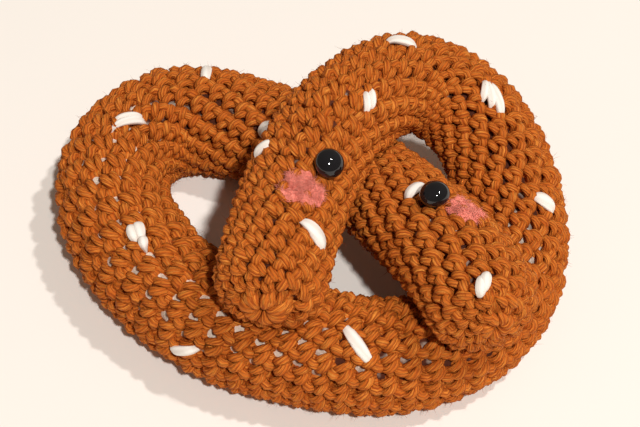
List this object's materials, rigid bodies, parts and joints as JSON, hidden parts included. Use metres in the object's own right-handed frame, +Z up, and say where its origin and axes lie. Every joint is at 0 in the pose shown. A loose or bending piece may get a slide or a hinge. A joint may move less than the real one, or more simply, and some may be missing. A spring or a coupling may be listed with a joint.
{
  "type": "crocheted toy pretzel",
  "caption": "Crocheted toy pretzel: a stuffed yarn tube crossed over itself, with button eyes, felted cheeks and short white stitches for salt.",
  "frame": {"origin": "centre of the underside of the whole toy's box, on the ground it lies on", "axes": "+X across the pretzel to the right of its face, +Y towards its two lobes at the back, +Z up from the ground; the free ends of the two arms and the face are to the front, -Y"},
  "size_m": [0.1048, 0.0896, 0.0473],
  "materials": {
    "caramel_yarn": "caramel brown yarn in single crochet, matt with a slight lustre on the strands",
    "black_plastic": "glossy black button",
    "pink_felt": "fuzzy needle-felted wool",
    "white_yarn": "warm white yarn stitches"
  },
  "bodies": {
    "root": {"pretzel": "caramel_yarn", "eye_left": "black_plastic", "eye_right": "black_plastic", "cheek_left": "pink_felt", "cheek_right": "pink_felt", "salt_01": "white_yarn", "salt_02": "white_yarn", "salt_03": "white_yarn", "salt_04": "white_yarn", "salt_05": "white_yarn", "salt_06": "white_yarn", "salt_07": "white_yarn", "salt_08": "white_yarn", "salt_09": "white_yarn", "salt_10": "white_yarn", "salt_11": "white_yarn", "salt_12": "white_yarn", "salt_13": "white_yarn", "salt_14": "white_yarn"}
  },
  "joints": []
}
